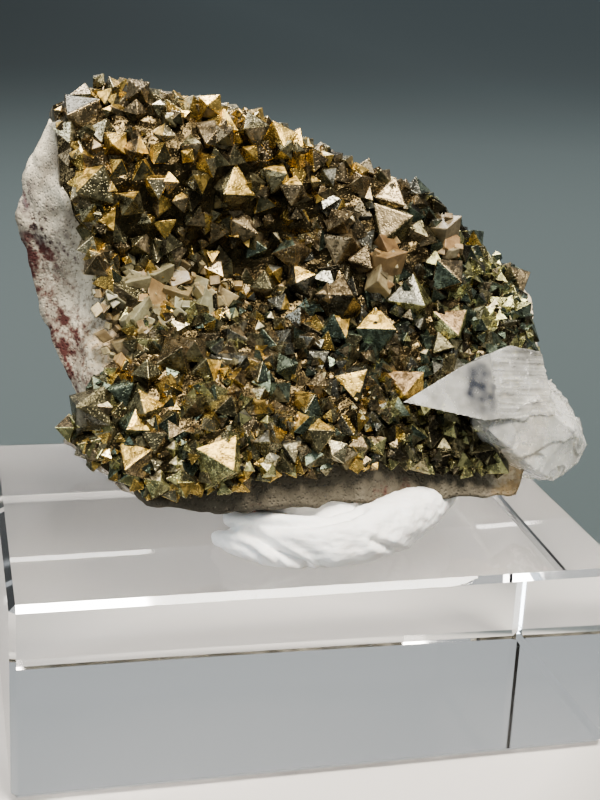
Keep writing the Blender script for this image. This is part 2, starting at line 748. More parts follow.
SEEN_FACES = (
    SeenFace(60, 90, 104, 97, 68, 120, Tone.PEWTER, 2),
    SeenFace(94, 91, 113, 87, 105, 106, G, 3),
    SeenFace(91, 88, 93, 78, 106, 87, S, 1),
    SeenFace(52, 110, 62, 104, 62, 112, G, 2),
    SeenFace(54, 121, 64, 120, 56, 130, G, 2),
    SeenFace(120, 90, 127, 82, 131, 95, S, 1),
    SeenFace(129, 91, 133, 87, 136, 97, G, 3),
    SeenFace(120, 101, 144, 90, 150, 104, O, 1),
    SeenFace(118, 108, 142, 116, 134, 126, O, 1),
    SeenFace(112, 147, 128, 128, 126, 157, G, 2),
    SeenFace(138, 129, 152, 156, 136, 157, G, 3),
    SeenFace(66, 152, 80, 146, 72, 161, G, 3),
    SeenFace(80, 141, 90, 136, 90, 144, B, 1),
    SeenFace(90, 151, 106, 144, 98, 156, B, 1),
    SeenFace(151, 133, 166, 120, 164, 138, G, 2),
    SeenFace(160, 111, 179, 111, 166, 121, O, 2),
    SeenFace(179, 109, 191, 110, 185, 119, G, 3),
    SeenFace(169, 122, 181, 112, 184, 125, O, 0),
    SeenFace(193, 120, 228, 117, 206, 147, B, 2),
    SeenFace(224, 104, 240, 131, 219, 131, G, 3),
    SeenFace(196, 119, 205, 107, 229, 116, B, 1),
    SeenFace(190, 130, 204, 144, 177, 148, O, 2),
    SeenFace(178, 150, 195, 147, 186, 157, G, 2),
    SeenFace(209, 146, 232, 136, 236, 143, O, 1),
    SeenFace(243, 130, 272, 124, 256, 151, B, 1),
    SeenFace(238, 145, 262, 143, 245, 153, G, 2),
    SeenFace(271, 118, 300, 131, 285, 151, G, 2),
    SeenFace(272, 134, 282, 152, 273, 163, D, 0),
    SeenFace(284, 149, 300, 152, 296, 161, B, 1),
    SeenFace(320, 148, 338, 155, 322, 158, C, 3),
    SeenFace(70, 166, 109, 162, 76, 199, G, 3),
    SeenFace(108, 194, 112, 179, 118, 191, G, 2),
    SeenFace(111, 193, 146, 191, 134, 199, G, 2),
    SeenFace(120, 200, 101, 225, 109, 234, G, 3),
    SeenFace(92, 214, 104, 216, 96, 222, O, 1),
    SeenFace(150, 226, 134, 247, 150, 258, B, 2),
    SeenFace(108, 243, 123, 248, 121, 259, O, 1),
    SeenFace(163, 183, 168, 168, 181, 183, G, 2),
    SeenFace(170, 203, 179, 187, 190, 198, G, 3),
    SeenFace(215, 194, 229, 208, 212, 209, O, 1),
    SeenFace(236, 158, 223, 198, 257, 196, G, 2),
    SeenFace(247, 205, 229, 221, 262, 238, B, 2),
    SeenFace(225, 237, 239, 229, 241, 239, G, 2),
    SeenFace(239, 240, 251, 235, 249, 249, G, 3),
    SeenFace(190, 224, 177, 232, 184, 241, B, 1),
    SeenFace(192, 241, 203, 240, 202, 252, O, 1),
    SeenFace(257, 169, 285, 158, 291, 177, G, 3),
    SeenFace(274, 186, 297, 171, 307, 187, G, 3),
    SeenFace(310, 172, 323, 181, 311, 184, G, 2),
    SeenFace(321, 170, 338, 165, 334, 189, S, 2),
    SeenFace(270, 195, 283, 195, 279, 204, O, 2),
    SeenFace(261, 219, 279, 222, 261, 228, B, 1),
    SeenFace(272, 254, 304, 225, 281, 251, T, 2),
    SeenFace(271, 232, 279, 229, 281, 244, C, 2),
    SeenFace(292, 239, 285, 253, 301, 252, G, 2),
    SeenFace(311, 195, 318, 194, 316, 206, B, 1),
    SeenFace(309, 218, 318, 219, 313, 228, B, 1),
    SeenFace(320, 232, 353, 238, 335, 268, B, 1),
    SeenFace(321, 232, 345, 221, 353, 237, B, 0),
    SeenFace(343, 214, 350, 208, 359, 226, C, 3),
    SeenFace(396, 176, 374, 198, 405, 206, B, 2),
    SeenFace(374, 202, 413, 216, 381, 243, B, 2),
    SeenFace(352, 158, 373, 170, 362, 176, G, 2),
    SeenFace(464, 245, 473, 230, 483, 246, G, 1),
    SeenFace(489, 257, 497, 249, 503, 254, L, 3),
    SeenFace(223, 311, 231, 322, 232, 313, L, 3),
    SeenFace(231, 321, 241, 317, 236, 304, L, 3),
    SeenFace(262, 262, 288, 266, 272, 274, S, 2),
    SeenFace(292, 262, 319, 274, 295, 285, G, 2),
    SeenFace(246, 286, 276, 289, 263, 305, B, 1),
    SeenFace(280, 312, 287, 287, 291, 314, G, 3),
    SeenFace(266, 318, 271, 310, 275, 319, C, 2),
    SeenFace(254, 331, 258, 319, 266, 327, C, 2),
    SeenFace(272, 330, 281, 321, 287, 330, G, 1),
    SeenFace(307, 297, 346, 270, 358, 298, B, 2),
    SeenFace(309, 298, 333, 317, 331, 297, B, 1),
    SeenFace(331, 311, 353, 316, 347, 345, G, 3),
    SeenFace(385, 301, 414, 271, 425, 307, S, 3),
    SeenFace(352, 330, 377, 301, 400, 331, G, 3),
    SeenFace(343, 257, 377, 270, 356, 279, B, 1),
    SeenFace(431, 292, 437, 259, 462, 283, T, 1),
    SeenFace(430, 305, 449, 297, 432, 288, T, 1),
    SeenFace(430, 310, 470, 308, 458, 338, R, 3),
    SeenFace(410, 321, 425, 316, 420, 331, S, 2),
    SeenFace(402, 342, 408, 330, 412, 342, L, 2),
    SeenFace(493, 321, 500, 308, 508, 319, L, 3),
    SeenFace(486, 308, 496, 297, 502, 309, C, 3),
    SeenFace(508, 265, 534, 270, 522, 297, B, 2),
    SeenFace(494, 280, 502, 270, 509, 283, L, 2),
    SeenFace(94, 406, 103, 396, 118, 409, C, 3),
    SeenFace(108, 390, 134, 383, 126, 409, T, 1),
    SeenFace(133, 383, 170, 407, 146, 417, G, 2),
    SeenFace(126, 431, 135, 406, 151, 432, G, 3),
    SeenFace(124, 371, 152, 380, 150, 392, O, 1),
    SeenFace(77, 404, 115, 426, 70, 437, S, 1),
    SeenFace(154, 364, 183, 346, 188, 377, O, 1),
    SeenFace(178, 362, 196, 340, 207, 363, O, 1),
    SeenFace(206, 356, 223, 354, 215, 392, G, 3),
    SeenFace(180, 418, 196, 400, 206, 418, B, 0),
    SeenFace(167, 418, 186, 431, 169, 441, B, 2),
    SeenFace(182, 433, 197, 420, 196, 434, R, 3),
    SeenFace(275, 372, 300, 361, 292, 386, T, 1),
    SeenFace(266, 402, 278, 384, 290, 403, O, 1),
    SeenFace(306, 384, 330, 385, 318, 402, B, 1),
    SeenFace(334, 376, 368, 369, 357, 402, G, 3),
    SeenFace(290, 440, 299, 408, 312, 412, G, 2),
    SeenFace(303, 430, 313, 413, 344, 433, G, 2),
    SeenFace(246, 446, 276, 425, 268, 441, S, 3),
    SeenFace(258, 422, 268, 413, 268, 424, L, 2),
    SeenFace(383, 370, 428, 370, 403, 398, R, 3),
    SeenFace(389, 402, 397, 409, 393, 422, L, 3),
    SeenFace(416, 353, 432, 347, 426, 356, C, 2),
    SeenFace(374, 411, 392, 405, 389, 426, B, 1),
    SeenFace(453, 374, 457, 355, 466, 365, S, 2),
    SeenFace(117, 441, 154, 449, 125, 472, G, 2),
    SeenFace(100, 455, 109, 447, 113, 460, C, 2),
    SeenFace(135, 481, 166, 468, 163, 479, C, 2),
    SeenFace(163, 449, 175, 438, 176, 450, C, 3),
    SeenFace(166, 465, 178, 452, 178, 466, C, 3),
    SeenFace(192, 448, 238, 433, 237, 473, G, 3),
    SeenFace(243, 471, 249, 458, 256, 472, L, 2),
    SeenFace(257, 463, 276, 460, 267, 473, C, 3),
    SeenFace(265, 448, 283, 459, 276, 462, S, 2),
    SeenFace(282, 444, 303, 440, 295, 465, C, 2),
    SeenFace(326, 438, 350, 443, 331, 456, C, 2),
    SeenFace(346, 447, 361, 431, 369, 448, B, 2),
    SeenFace(366, 433, 391, 437, 373, 446, B, 2),
    SeenFace(412, 443, 427, 447, 419, 451, L, 2),
    SeenFace(436, 448, 444, 435, 453, 450, O, 2),
)


@dataclass(frozen=True)
class ToneRegion:
    """Tones of the crystals round a point of the specimen's face, in millimetres."""

    x: float
    y: float
    reach: float
    tones: tuple[Tone, ...]

    def weight(self, x: float, y: float) -> float:
        """Return how strongly the region sets the tone at a point."""
        return math.exp(-((x - self.x) ** 2 + (y - self.y) ** 2) / self.reach**2) + 1e-6


TONE_REGIONS = (
    ToneRegion(-15.0, 35.0, 8.0, (G, G, B, B, O, O, C)),
    ToneRegion(-2.0, 33.0, 7.0, (G, B, B, O, O, G)),
    ToneRegion(-8.0, 25.0, 5.5, (O, B, O, D, G)),
    ToneRegion(8.0, 27.0, 6.0, (O, B, B, D, S)),
    ToneRegion(8.0, 17.0, 8.0, (T, O, D, S, T, B)),
    ToneRegion(20.0, 21.0, 7.0, (L, O, T, T, D, L)),
    ToneRegion(-15.0, 9.0, 7.0, (G, O, L, B, O, T)),
    ToneRegion(0.0, 9.0, 8.0, (T, O, B, S, O, G)),
    ToneRegion(-8.0, 4.0, 6.0, (O, L, G, C, O, B)),
    ToneRegion(14.0, 4.0, 6.0, (O, O, D, L)),
)


# Lines in millimetres along the crust's rims, each with its number of crystals and the
# least and most edge of these.
RIM_LINES = (
    ([(17.4, 27.4), (19.8, 27.0), (22.6, 25.8), (24.6, 24.0), (27.2, 22.0)], 44, 1.4, 2.8),
    ([(17.8, 25.6), (21.0, 24.6), (24.4, 22.4), (26.4, 20.8)], 34, 1.4, 2.8),
    ([(-20.8, 37.6), (-19.2, 39.4), (-16.4, 40.0), (-10.0, 38.2), (-3.0, 36.4)], 46, 1.4, 2.6),
    ([(-20.6, 36.2), (-21.0, 31.2), (-19.6, 26.0), (-18.0, 21.0)], 36, 1.4, 2.4),
    ([(-23.6, 8.2), (-20.6, 4.8), (-17.6, 2.6), (-13.5, 2.4)], 40, 0.8, 1.9),
    ([(-13.5, 2.2), (-5.0, 3.0), (4.0, 3.6), (19.6, 1.6)], 90, 0.6, 1.6),
    ([(-23.6, 8.6), (-21.0, 11.2), (-18.4, 14.4)], 26, 1.0, 2.2),
    ([(22.6, 10.0), (24.2, 12.6), (24.4, 16.4), (25.4, 19.8)], 36, 1.2, 2.6),
)

# Where the crust stands out past the rock, with the number of crystals on its flank there.
FLANK_LINES = (
    ([(-20.2, 39.2), (-17.2, 40.2), (-3.0, 37.2), (5.5, 33.6), (15.8, 30.0), (26.8, 21.8)], 340),
    ([(-19.2, 9.8), (-20.9, 7.6), (-17.0, 4.2), (-13.5, 3.8)], 110),
)


@dataclass
class Grown:
    """One octahedron of the crust.

    Attributes:
        middle: Its middle in metres.
        edge: Its edge in metres.
        turn: Its rotation.
        tone: Tone of its face that the camera sees best.
        gleam: How that face is etched and lit, from 0 to 3.
        facing: Unit normal of that face.
        rest: Tone of its other faces.
    """

    middle: Vector
    edge: float
    turn: Matrix
    tone: Tone
    gleam: float
    facing: Vector
    rest: Tone


@dataclass
class PyriteCrust:
    """All the pyrite: a thin sheet with octahedra grown together on it."""

    key_light: Vector = field(default_factory=lambda: Vector((0.15, -0.38, 0.91)).normalized())
    sheet_cells: tuple[int, int, int] = (60, 52, 2)
    sheet_thickness: float = 1.2
    seen_rise: float = 0.3
    most_tilt: float = 62.0
    turn_to_light: float = 0.1
    lift_step: float = 0.18
    lift_rounds: int = 6
    sink_rounds: int = 5
    sink_step: float = 0.2
    lit_share: float = 0.09
    turn_tries: int = 7
    fill_tilt: float = 0.8
    middle_count: int = 360
    middle_edge: tuple[float, float] = (2.3, 4.8)
    small_count: int = 620
    small_edge: tuple[float, float] = (0.6, 1.4)
    sparse_above: float = 21.0
    rim_drop: float = 1.6
    rim_share: float = 0.05
    flank_depth: float = 4.4
    flank_inset: float = 0.1
    flank_edge: tuple[float, float] = (1.1, 2.3)
    crust_middle: tuple[float, float] = (1.0, 19.0)
    seed: int = 5
    own_normal: Vector = field(default_factory=lambda: Vector((1.0, 1.0, 1.0)).normalized())
    own_corner: Vector = field(default_factory=lambda: Vector((2.0, -1.0, -1.0)).normalized())

    def turned(self, normal: Vector, corner: Vector) -> Matrix:
        """Return the rotation that gives an octahedron one face and its corner.

        Args:
            normal: Unit normal of the face.
            corner: Direction from the face's middle to one of its corners.

        Returns:
            A 3 x 3 rotation.
        """
        corner = (corner - normal * corner.dot(normal)).normalized()
        target = Matrix((corner, normal.cross(corner), normal)).transposed()
        source = Matrix((self.own_corner, self.own_normal.cross(self.own_corner), self.own_normal))
        return target @ source

    def surface_point(self, ray: Vector, rise: float) -> Vector:
        """Return where a ray from the camera meets the crust, raised by a length.

        Args:
            ray: Unit vector from the camera.
            rise: Height above the crust in millimetres.

        Returns:
            The point in metres.
        """
        start = AWAY @ VIEW.spot() / MM
        step = (AWAY.to_3x3() @ ray).normalized()
        height = rise
        for _ in range(8):
            point = start + step * ((height - start.z) / step.z)
            height = face_height(point.x, point.y) + rise
        return HOME @ (point * MM)

    def solve(self, seen: SeenFace) -> Grown:
        """Find the octahedron whose face the camera sees between three pixels."""
        corners = seen.corners()
        middle = sum(corners, Vector((0.0, 0.0))) / 3.0
        spans = [Vector((p.x - middle.x, middle.y - p.y)) for p in corners]
        columns = [Vector((0.0, 0.0)), Vector((0.0, 0.0))]
        for span, angle in zip(spans, (90.0, 210.0, 330.0)):
            columns[0] += span * math.cos(math.radians(angle)) * 2.0 / math.sqrt(3.0)
            columns[1] += span * math.sin(math.radians(angle)) * 2.0 / math.sqrt(3.0)
        a = columns[0].x ** 2 + columns[1].x ** 2
        c = columns[0].y ** 2 + columns[1].y ** 2
        b = columns[0].x * columns[0].y + columns[1].x * columns[1].y
        swing = math.hypot((a - c) / 2.0, b)
        longest = math.sqrt((a + c) / 2.0 + swing)
        shortest = math.sqrt(max((a + c) / 2.0 - swing, 0.0))
        long_way = 0.5 * math.atan2(2.0 * b, a - c)
        ratio = min(shortest / longest, 1.0)
        tilt = min(math.acos(ratio), math.radians(self.most_tilt))
        longest *= math.sqrt(max(ratio, 0.42))
        ray = VIEW.ray(middle.x, middle.y)
        choices = []
        for sign in (1.0, -1.0):
            across = Vector((-math.sin(long_way), math.cos(long_way))) * sign * math.sin(tilt)
            local = Vector((across.x, across.y, math.cos(tilt)))
            normal = (VIEW.turn() @ local).normalized()
            mirror = ray - 2.0 * ray.dot(normal) * normal
            choices.append((mirror.dot(self.key_light), sign, local, normal))
        choices.sort()
        local, normal = (choices[-1] if seen.gleam >= 2 else choices[0])[2:]
        lift = -(local.x * spans[0].x + local.y * spans[0].y) / local.z
        corner = VIEW.turn() @ Vector((spans[0].x, spans[0].y, lift))
        if seen.gleam >= 2:
            half = (self.key_light - ray).normalized()
            normal = normal.lerp(half, self.turn_to_light).normalized()
        place = self.surface_point(ray, 0.0)
        edge = longest * (place - VIEW.spot()).length / VIEW.focal()
        place = self.surface_point(ray, self.seen_rise * edge / MM)
        rest = self.region_tone(place, random.Random(int(seen.ax + 7 * seen.ay)))
        centre = place - normal * edge / math.sqrt(6.0)
        return Grown(centre, edge, self.turned(normal, corner), seen.tone, seen.gleam, normal, rest)

    def region_tone(self, point: Vector, chance: random.Random) -> Tone:
        """Return a tone that the crystals near a point may have."""
        local = AWAY @ point / MM
        weights = [region.weight(local.x, local.y) for region in TONE_REGIONS]
        return chance.choice(chance.choices(TONE_REGIONS, weights)[0].tones)

    def blocks(self, crystals: list[Grown]) -> BVHTree:
        """Return a tree of the crystals' faces, eight for each in order."""
        shape = self.octahedra(crystals)
        tree = BVHTree.FromBMesh(shape)
        shape.free()
        return tree

    def samples(self, crystal: Grown) -> list[Vector]:
        """Return points of a crystal's seen face: its middle, corners and edges."""
        middle = crystal.middle + crystal.facing * crystal.edge / math.sqrt(6.0)
        tips = (Vector((1, 0, 0)), Vector((0, 1, 0)), Vector((0, 0, 1)))
        reach = crystal.edge / math.sqrt(2.0)
        corners = [crystal.middle + crystal.turn @ tip * reach for tip in tips]
        points = [middle]
        for first, second in zip(corners, corners[1:] + corners[:1]):
            points.append(middle.lerp(first, 0.78))
            points.append(middle.lerp((first + second) / 2.0, 0.75))
        return points

    def hiders(self, crystal: Grown, tree: BVHTree) -> set[int]:
        """Return which crystals of a tree hide points of a crystal's seen face."""
        found: set[int] = set()
        eye = VIEW.spot()
        for point in self.samples(crystal):
            way = point - eye
            ray, left, start = way.normalized(), way.length - 0.04 * MM, eye
            while left > 0.0:
                hit, _, face, length = tree.ray_cast(start, ray, left)
                if hit is None:
                    break
                found.add(face // 8)
                start = hit + ray * 0.01 * MM
                left -= length + 0.01 * MM
        return found

    def lift_seen(self, crystals: list[Grown]) -> None:
        """Move hidden crystals towards the camera, a step at a time."""
        for _ in range(self.lift_rounds):
            tree = self.blocks(crystals)
            for index, crystal in enumerate(crystals):
                if self.hiders(crystal, tree) - {index}:
                    ray = (crystal.middle - VIEW.spot()).normalized()
                    crystal.middle = crystal.middle - ray * self.lift_step * MM

    def clear_view(self, seen: list[Grown], fill: list[Grown]) -> list[Grown]:
        """Sink the fill crystals that hide a seen face; return those that then don't."""
        inward = HOME.to_3x3() @ Vector((0.0, 0.0, -1.0))
        bad: set[int] = set()
        for _ in range(self.sink_rounds):
            tree = self.blocks(fill)
            bad = set()
            for crystal in seen:
                bad |= self.hiders(crystal, tree)
            for index in bad:
                fill[index].middle = fill[index].middle + inward * fill[index].edge * self.sink_step
        return [crystal for index, crystal in enumerate(fill) if index not in bad]

    def scattered(
        self, count: int, edges: tuple[float, float], rise: tuple[float, float], seed: int,
        others: list[Grown], tries: int,
    ) -> list[Grown]:
        """Grow crystals in the free spots of the crust.

        Args:
            count: How many.
            edges: Least and most edge in millimetres.
            rise: Least and most height of a middle above the crust, in edges.
            seed: Seed of the draws.
            others: Crystals that are there already.
            tries: Candidate spots for each.

        Returns:
            The crystals.
        """
        chance = random.Random(seed)
        taken = [((AWAY @ other.middle).xy / MM, other.edge / MM) for other in others]
        made = []
        for _ in range(count):
            spots = []
            for _ in range(tries):
                s, t = chance.uniform(0.02, 0.985), chance.uniform(0.01, 0.95)
                spots.append(patch_point(CRUST_OUTLINE, s, t))
            room, best = 0.0, 0
            if tries > 1:
                room, best = max(
                    (min((spot - other).length - 0.35 * size for other, size in taken), index)
                    for index, spot in enumerate(spots)
                )
            spot = spots[best]
            edge = chance.uniform(*edges)
            if tries > 1:
                edge = min(edge, max(edges[0], room))
                taken.append((spot, edge))
            height = face_height(spot.x, spot.y) + edge * chance.uniform(*rise)
            made.append(self.grown_at(spot, height, edge, chance))
        return made

    def grown_at(
        self, spot: Vector, height: float, edge: float, chance: random.Random
    ) -> Grown:
        """Return a crystal at a point of the specimen's face, turned by chance.

        Args:
            spot: The point across and up, in millimetres.
            height: Height of its middle in millimetres.
            edge: Its edge in millimetres.
            chance: Source of the turn and the tones.

        Returns:
            The crystal.
        """
        middle = HOME @ (Vector((spot.x, spot.y, height)) * MM)
        half = (self.key_light + (VIEW.spot() - middle).normalized()).normalized()
        lit = chance.random() < self.lit_share
        choices = []
        for _ in range(self.turn_tries):
            tilt = chance.uniform(0.0, self.fill_tilt)
            toward = chance.uniform(-math.pi, math.pi)
            point = chance.uniform(-math.pi, math.pi)
            local = Vector(
                (math.sin(tilt) * math.cos(toward), math.sin(tilt) * math.sin(toward), math.cos(tilt))
            )
            normal = (HOME.to_3x3() @ local).normalized()
            corner = HOME.to_3x3() @ Vector((math.cos(point), math.sin(point), 0.0))
            turn = self.turned(normal, corner)
            glare = max(abs(half.dot(turn @ own)) for own in self.own_faces())
            choices.append((glare if not lit else -normal.dot(half), len(choices), turn, normal))
        _, _, turn, normal = min(choices)
        tone = self.region_tone(middle, chance)
        gleam = chance.uniform(1.4, 3.4) if lit else chance.uniform(0.0, 0.9)
        rest = self.region_tone(middle, chance)
        return Grown(middle, edge * MM, turn, tone, gleam, normal, rest)

    def own_faces(self) -> list[Vector]:
        """Return one unit normal of each pair of an octahedron's parallel faces."""
        signs = ((1, 1, 1), (1, 1, -1), (1, -1, 1), (-1, 1, 1))
        return [Vector(sign).normalized() for sign in signs]

    def ridge_crystals(self) -> list[Grown]:
        """Return the crystals that line the crust's upper rim and its right end."""
        chance = random.Random(self.seed + 9)
        made = []
        for line, count, least, most in RIM_LINES:
            for _ in range(count):
                spot = point_along(line, chance.random())
                spot = spot + Vector((chance.uniform(-0.8, 0.8), chance.uniform(-0.8, 0.5)))
                edge = chance.uniform(least, most)
                height = face_height(spot.x, spot.y) + chance.uniform(-0.45, 0.15) * edge
                made.append(self.grown_at(spot, height, edge, chance))
        return made

    def flank_crystals(self) -> list[Grown]:
        """Return the crystals on the crust's flanks, where it stands out past the rock."""
        chance = random.Random(self.seed + 11)
        made = []
        for line, count in FLANK_LINES:
            for _ in range(count):
                depth = chance.uniform(0.1, 1.0)
                inset = self.flank_inset * depth * chance.random()
                spot = point_along(line, chance.random()).lerp(Vector(self.crust_middle), inset)
                height = face_height(spot.x, spot.y) - self.flank_depth * depth
                made.append(self.grown_at(spot, height, chance.uniform(*self.flank_edge), chance))
        return made

    def octahedra(self, crystals: list[Grown]) -> bmesh.types.BMesh:
        """Return a bmesh of plain octahedra, eight faces for each crystal in order."""
        parts = []
        for first in range(0, len(crystals), 24):
            part = bmesh.new()
            for crystal in crystals[first:first + 24]:
                place = Matrix.Translation(crystal.middle) @ crystal.turn.to_4x4()
                radius = crystal.edge / math.sqrt(2.0)
                bmesh.ops.create_uvsphere(
                    part, u_segments=4, v_segments=2, radius=radius, matrix=place
                )
            parts.append(part)
        return joined(parts)

    def colour(self, crystal: Grown, normal: Vector, chance: random.Random) -> tuple[float, ...]:
        """Return a face's colour and frost.

        Args:
            crystal: The crystal that has the face.
            normal: The face's normal.
            chance: Source of the small differences.

        Returns:
            Red, green, blue and frost.
        """
        shade = chance.uniform(0.8, 1.15)
        if normal.dot(crystal.facing) > 0.97:
            level = (0.5, 0.65, 0.95, 1.15)[min(3, int(crystal.gleam))]
            frost = min(1.0, 0.1 + crystal.gleam / 3.0)
            return (*(part * level * shade for part in crystal.tone.value), frost)
        half = (self.key_light + (VIEW.spot() - crystal.middle).normalized()).normalized()
        light = max(0.0, normal.dot(half)) ** 8
        level = 0.62 - 0.25 * light
        return (*(part * level * shade for part in crystal.rest.value), 0.2 + 0.2 * light)

    def grow(
        self, crystals: list[Grown], bevel: float, terrace: bool, seed: int
    ) -> bmesh.types.BMesh:
        """Make crystals as one bmesh with their tones.

        Args:
            crystals: The crystals.
            bevel: Width of the worn edges in millimetres, or 0 for sharp ones.
            terrace: Whether the larger crystals get growth steps.
            seed: Seed of the small differences.

        Returns:
            The bmesh in the object's frame.
        """
        chance = random.Random(seed)
        shape = self.octahedra(crystals)
        tones = shape.loops.layers.float_color.new("tone")
        frosts = shape.loops.layers.float.new("frost")
        owner = shape.faces.layers.int.new("owner")
        for index, face in enumerate(shape.faces):
            face[owner] = index // 8
        bmesh.ops.recalc_face_normals(shape, faces=shape.faces)
        edges_made = set()
        if bevel > 0.0:
            made = bmesh.ops.bevel(
                shape, geom=list(shape.edges), offset=bevel * MM, offset_type="OFFSET", affect="EDGES",
                segments=1, profile=0.5, material=-1,
            )
            edges_made = set(made["faces"])
        if terrace:
            self.terraces(shape, owner, crystals, edges_made, chance)
        # The operators above leave the faces in no fixed order, and each face takes a draw.
        for face in sorted(shape.faces, key=lambda face: tuple(face.calc_center_median())):
            crystal = crystals[face[owner]]
            face.normal_update()
            red, green, blue, frost = self.colour(crystal, face.normal, chance)
            if face in edges_made:
                red, green, blue, frost = red * 1.2, green * 1.17, blue * 1.1, max(frost, 0.25)
            for loop in face.loops:
                loop[tones] = (red, green, blue, 1.0)
                loop[frosts] = frost
        shape.faces.layers.int.remove(owner)
        return shape

    def terraces(
        self, shape: bmesh.types.BMesh, owner: bmesh.types.BMLayerItem, crystals: list[Grown],
        skip: set[bmesh.types.BMFace], chance: random.Random,
    ) -> None:
        """Raise or sink one or two growth steps on the larger faces."""
        large = [
            face for face in shape.faces
            if face not in skip and crystals[face[owner]].edge > 2.4 * MM
        ]
        for thickness, depth, share in ((0.16, 0.03, 0.8), (0.3, 0.045, 0.55)):
            chosen = [face for face in large if chance.random() < share]
            bmesh.ops.inset_individual(
                shape, faces=chosen, thickness=thickness * MM, depth=depth * MM, use_even_offset=True
            )

    def sheet(self) -> bmesh.types.BMesh:
        """Make the thin sheet that carries the crystals."""

        def place(s: float, t: float, share: float) -> Vector:
            flat = patch_point(CRUST_OUTLINE, s, t)
            depth = face_height(flat.x, flat.y) + (share - 1.0) * 2.0 * self.sheet_thickness
            rim = max(0.0, 1.0 - min(s, 1.0 - s, t, 1.0 - t) / self.rim_share)
            depth -= self.rim_drop * rim * rim
            spot = Vector((flat.x, flat.y, depth))
            bumps = 0.3 * noise.fractal(spot * 0.9, 0.8, 2.0, 3)
            torn = noise.noise_vector(spot / 1.6) * 0.8 * (1.0 - share)
            return HOME @ ((spot + Vector((0.0, 0.0, bumps * share)) + torn) * MM)

        shape = grid_slab(self.sheet_cells, place)
        bmesh.ops.recalc_face_normals(shape, faces=shape.faces)
        tones = shape.loops.layers.float_color.new("tone")
        frosts = shape.loops.layers.float.new("frost")
        outward = HOME.to_3x3() @ Vector((0.0, 0.0, 1.0))
        for face in shape.faces:
            face.normal_update()
            front = face.normal.dot(outward) > 0.3
            for loop in face.loops:
                loop[tones] = (0.07, 0.055, 0.03, 1.0) if front else (0.26, 0.23, 0.18, 1.0)
                loop[frosts] = 0.0 if front else 1.0
        return shape

    def make(self) -> bpy.types.Object:
        """Make the crust as one piece and return it."""
        seen = [self.solve(face) for face in SEEN_FACES]
        self.lift_seen(seen)
        middle = self.scattered(
            self.middle_count, self.middle_edge, (-0.35, 0.05), self.seed, seen, 4
        )
        middle = self.clear_view(seen, middle + self.ridge_crystals() + self.flank_crystals())
        small = self.scattered(self.small_count, self.small_edge, (0.0, 0.7), self.seed + 1, [], 1)
        small = [
            crystal for index, crystal in enumerate(small)
            if index % 3 == 0 or (AWAY @ crystal.middle).y / MM < self.sparse_above
        ]
        small = self.clear_view(seen, small)
        LOG.info("pyrite: %d seen, %d middle, %d small", len(seen), len(middle), len(small))
        whole = joined([
            self.sheet(),
            self.grow(seen, 0.05, True, self.seed + 2),
            self.grow(middle, 0.04, False, self.seed + 3),
            self.grow(small, 0.0, False, self.seed + 4),
        ])
        look = TarnishedPyrite().make()
        return finish_piece("pyrite_crystals", whole, look, "pyrite_crust")


# Rock


@dataclass(frozen=True)
class Stain:
    """A stained patch of the rock, in the specimen's frame in millimetres."""

    kind: str
    x: float
    y: float
    z: float
    reach: float
    amount: float


STAINS = (
    Stain("violet", -25.2, 31.8, -4.4, 2.4, 0.7),
    Stain("violet", -24.4, 26.6, -4.0, 2.8, 0.8),
    Stain("violet", -23.0, 24.2, -2.8, 1.9, 0.7),
    Stain("violet", -23.6, 20.0, -4.4, 2.6, 0.5),
    Stain("violet", -22.4, 12.6, -3.4, 2.2, 0.5),
    Stain("hematite", -25.0, 32.2, -4.6, 1.2, 0.5),
    Stain("hematite", -25.0, 25.6, -5.0, 2.6, 1.0),
    Stain("hematite", -24.4, 22.2, -4.6, 3.0, 0.95),
    Stain("hematite", -23.4, 18.4, -4.6, 3.6, 0.95),
    Stain("hematite", -22.6, 14.0, -3.9, 3.0, 0.85),
    Stain("hematite", -6.0, -0.9, -2.4, 2.0, 0.6),
    Stain("hematite", 7.5, -0.6, -2.4, 3.0, 0.6),
    Stain("rim", -24.6, 28.0, -3.4, 1.7, 0.62),
    Stain("rim", -23.4, 25.0, -2.6, 1.4, 0.6),
    Stain("rim", -6.0, -1.2, -3.2, 1.3, 0.7),
    Stain("rim", -2.6, -1.3, -3.2, 1.6, 0.75),
    Stain("rim", 2.0, -1.0, -3.4, 1.6, 0.7),
    Stain("rim", 6.4, -1.0, -3.2, 1.8, 0.75),
    Stain("rim", 10.4, -1.2, -3.2, 1.4, 0.7),
    Stain("ochre", -19.4, 16.5, 0.0, 3.4, 0.8),
    Stain("ochre", -19.6, 23.0, -0.5, 2.6, 0.5),
    Stain("ochre", 21.4, -0.9, -1.0, 3.0, 0.8),
    Stain("strip", -16.0, 1.4, -1.0, 4.6, 1.5),
    Stain("strip", -11.5, 0.8, -1.0, 4.6, 1.5),
    Stain("strip", -7.0, 0.6, -1.0, 4.6, 1.5),
    Stain("strip", -2.5, 0.6, -1.0, 4.6, 1.5),
    Stain("strip", 2.0, 0.6, -1.0, 4.6, 1.5),
    Stain("strip", 6.5, 0.6, -1.0, 4.6, 1.5),
    Stain("strip", 11.0, 0.4, -1.0, 4.4, 1.4),
    Stain("strip", 15.0, 0.2, -1.0, 3.6, 1.2),
)


